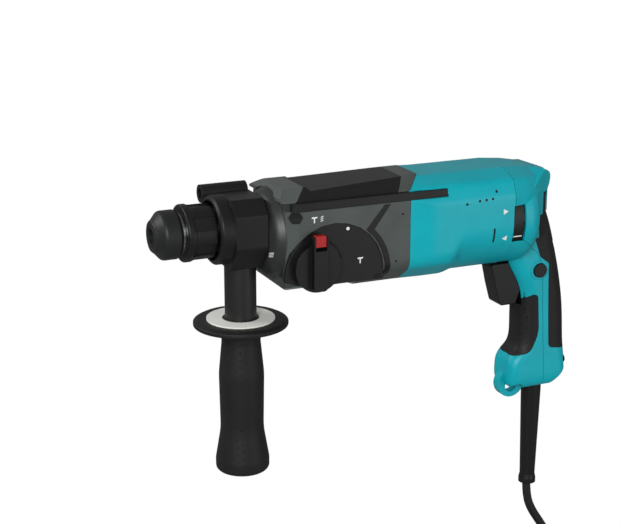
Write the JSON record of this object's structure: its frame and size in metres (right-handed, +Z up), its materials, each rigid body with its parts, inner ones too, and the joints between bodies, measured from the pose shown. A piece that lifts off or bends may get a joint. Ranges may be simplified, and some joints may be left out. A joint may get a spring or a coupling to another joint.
{
  "type": "rotary hammer",
  "caption": "Corded rotary hammer with keyless hammer chuck, round mode knob, pistol handle with trigger and rubber grips, swivelling side handle and tied cord.",
  "frame": {"origin": "middle of the main grip, on the tool's plane of symmetry", "axes": "-X along the chuck axis towards the nose, +X to the rear, +Z up, -Y the side with the mode knob"},
  "size_m": [0.3895, 0.0895, 0.5345],
  "materials": {
    "teal_housing": "moulded glass-filled nylon, satin",
    "black_plastic": "moulded nylon, fine spark texture",
    "grey_plastic": "moulded nylon, satin",
    "black_rubber": "soft elastomer overmould, fine texture",
    "red_plastic": "moulded, satin",
    "white_plastic": "moulded",
    "cast_metal": "die casting, dark painted",
    "bare_alloy": "machined casting",
    "hard_steel": "hardened and phosphated",
    "bright_steel": "ground",
    "zinc_steel": "zinc plated",
    "lamination": "stacked electrical sheet",
    "copper_winding": "enamelled copper wire and segments",
    "carbon": "pressed graphite",
    "cord_sheath": "flexible rubber sheath, satin"
  },
  "bodies": {
    "housing": {"gear_housing": "cast_metal", "housing_cover": "grey_plastic", "front_cap": "grey_plastic", "top_cover": "black_plastic", "side_stripes": "black_plastic", "selector_plate": "black_plastic", "motor_housing": "teal_housing", "handle_cover": "teal_housing", "front_grip_rubber": "black_rubber", "rear_grip_rubber": "black_rubber", "inner_housing": "bare_alloy", "baffle_plate": "black_plastic", "field_stator": "lamination", "field_coils": "copper_winding", "holder_bearings": "bright_steel", "oil_seal": "black_rubber", "counter_bearings": "bright_steel", "armature_bearings": "bright_steel", "switch_body": "black_plastic", "cord_clamp": "black_plastic", "cord_guard": "black_rubber", "gear_housing_screws": "zinc_steel", "handle_screws": "zinc_steel", "power_cord": "cord_sheath", "cord_coil": "cord_sheath", "cord_tie": "black_plastic", "cord_tail": "cord_sheath", "plug": "black_plastic"},
    "spindle": {"tool_holder": "hard_steel", "spindle_gear": "hard_steel", "locking_balls": "bright_steel", "chuck_cap": "black_rubber", "chuck_rings": "zinc_steel", "chuck_spring": "bright_steel"},
    "sleeve": {"chuck_sleeve": "black_plastic"},
    "impact_bolt": {"impact_bolt": "hard_steel"},
    "striker": {"striker": "hard_steel"},
    "piston": {"piston": "bare_alloy"},
    "piston_pin": {"piston_pin": "hard_steel"},
    "swash": {"swash_ring": "hard_steel"},
    "countershaft": {"countershaft": "hard_steel", "swash_hub": "hard_steel", "reduction_gear": "hard_steel"},
    "armature": {"armature_shaft": "bright_steel", "armature_core": "lamination", "commutator": "copper_winding", "fan": "black_plastic"},
    "reverser": {"reversing_ring": "black_plastic", "brush_holders": "black_plastic", "carbon_brushes": "carbon"},
    "knob": {"mode_knob": "black_plastic"},
    "knob_lock": {"knob_lock_button": "red_plastic"},
    "trigger": {"trigger": "black_plastic"},
    "lock_button": {"lock_button": "black_plastic"},
    "side_handle": {"clamp_base": "black_plastic", "clamp_band": "zinc_steel", "clamp_bolt": "zinc_steel", "grip_column": "black_plastic"},
    "side_grip": {"side_grip": "black_rubber", "grip_ring": "white_plastic"}
  },
  "joints": [
    {"name": "armature_turn", "type": "hinge", "parent": "housing", "child": "armature", "pos_m": [-0.085, 0, 0.099], "axis": [1, 0, 0], "continuous": true},
    {"name": "countershaft_turn", "type": "hinge", "parent": "housing", "child": "countershaft", "pos_m": [-0.185, 0, 0.081], "axis": [1, 0, 0], "continuous": true},
    {"name": "spindle_turn", "type": "hinge", "parent": "housing", "child": "spindle", "pos_m": [-0.235, 0, 0.11], "axis": [1, 0, 0], "continuous": true},
    {"name": "sleeve_pull", "type": "slide", "parent": "spindle", "child": "sleeve", "axis": [1, 0, 0], "range_m": [0, 0.007], "stiffness_N_per_m": 1200, "springref_m": -0.008, "deforming": ["chuck_spring"]},
    {"name": "impact_bolt_slide", "type": "slide", "parent": "housing", "child": "impact_bolt", "axis": [1, 0, 0], "range_m": [-0.004, 0]},
    {"name": "striker_slide", "type": "slide", "parent": "housing", "child": "striker", "axis": [1, 0, 0], "range_m": [-0.009, 0.006]},
    {"name": "swash_rock", "type": "hinge", "parent": "housing", "child": "swash", "pos_m": [-0.163, 0, 0.081], "axis": [0, 1, 0], "range_deg": [-13, 13]},
    {"name": "piston_slide", "type": "slide", "parent": "housing", "child": "piston", "axis": [1, 0, 0], "range_m": [-0.0065, 0.0065]},
    {"name": "piston_pin_turn", "type": "hinge", "parent": "piston", "child": "piston_pin", "pos_m": [-0.163, 0, 0.11], "axis": [0, 1, 0], "range_deg": [-13.2, 13.2]},
    {"name": "reverser_turn", "type": "hinge", "parent": "housing", "child": "reverser", "pos_m": [-0.037, 0, 0.099], "axis": [1, 0, 0], "range_deg": [0, 35]},
    {"name": "mode_knob_turn", "type": "hinge", "parent": "housing", "child": "knob", "pos_m": [-0.2155, -0.038, 0.082], "axis": [0, 1, 0], "range_deg": [-90, 90]},
    {"name": "knob_lock_press", "type": "slide", "parent": "knob", "child": "knob_lock", "axis": [0, 0, -1], "range_m": [0, 0.003], "stiffness_N_per_m": 400, "springref_m": -0.002},
    {"name": "trigger_pull", "type": "slide", "parent": "housing", "child": "trigger", "axis": [1, 0, 0], "range_m": [0, 0.006], "stiffness_N_per_m": 900, "springref_m": -0.004},
    {"name": "lock_button_press", "type": "slide", "parent": "housing", "child": "lock_button", "axis": [0, 1, 0], "range_m": [0, 0.003], "stiffness_N_per_m": 500, "springref_m": -0.002},
    {"name": "side_handle_swing", "type": "hinge", "parent": "housing", "child": "side_handle", "pos_m": [-0.2635, 0, 0.11], "axis": [1, 0, 0], "continuous": true},
    {"name": "side_grip_twist", "type": "hinge", "parent": "side_handle", "child": "side_grip", "pos_m": [-0.2635, 0, -0.02], "axis": [0, 0, 1], "continuous": true}
  ],
  "couplings": [
    {"joint": "countershaft_turn", "follows": "armature_turn", "ratio": -0.26923},
    {"joint": "spindle_turn", "follows": "armature_turn", "ratio": 0.05279},
    {"joint": "swash_rock", "follows": "piston_slide", "rad_per_m": 34.483},
    {"joint": "piston_pin_turn", "follows": "piston_slide", "rad_per_m": 34.483}
  ]
}
